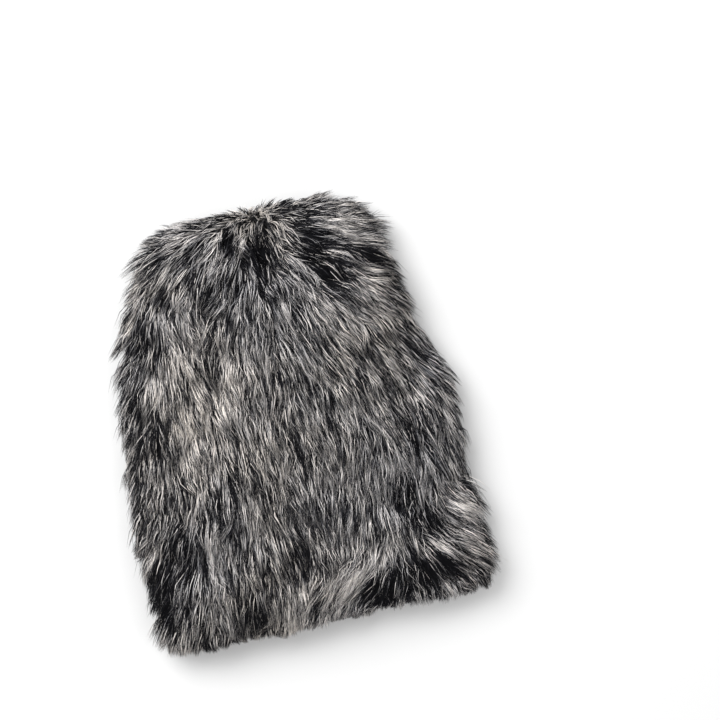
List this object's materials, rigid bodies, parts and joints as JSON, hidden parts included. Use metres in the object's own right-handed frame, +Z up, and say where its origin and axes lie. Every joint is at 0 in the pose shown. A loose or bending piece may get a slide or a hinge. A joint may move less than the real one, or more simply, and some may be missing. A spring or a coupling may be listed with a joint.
{
  "type": "furry windscreen",
  "caption": "Slip-on long-pile fur windscreen cover with a gathered crown and an elastic hem, lying flat with its mouth open.",
  "frame": {"origin": "centre of the underside: the middle of the box in X and Y, on the surface that the cover lies on", "axes": "+Z up off the surface, +Y from the mouth towards the gathered crown, +X across the cover"},
  "size_m": [0.282, 0.345, 0.054],
  "materials": {
    "fur_pile": "long salt-and-pepper pile, soft and matt with a slight sheen",
    "knit_backing": "fine matt knit",
    "sewing_thread": "spun black thread",
    "elastic_braid": "covered elastic braid"
  },
  "bodies": {
    "root": {"front_pile": "fur_pile", "back_pile": "fur_pile", "front_hem_band": "fur_pile", "back_hem_band": "fur_pile", "crown_gather": "fur_pile", "left_side_seam": "fur_pile", "right_side_seam": "fur_pile", "front_knit_panel": "knit_backing", "back_knit_panel": "knit_backing", "crown_patch": "knit_backing", "front_hem_casing": "knit_backing", "back_hem_casing": "knit_backing", "left_seam_thread": "sewing_thread", "right_seam_thread": "sewing_thread", "crown_gather_thread": "sewing_thread", "front_hem_stitch": "sewing_thread", "back_hem_stitch": "sewing_thread", "hem_elastic": "elastic_braid"}
  },
  "joints": []
}
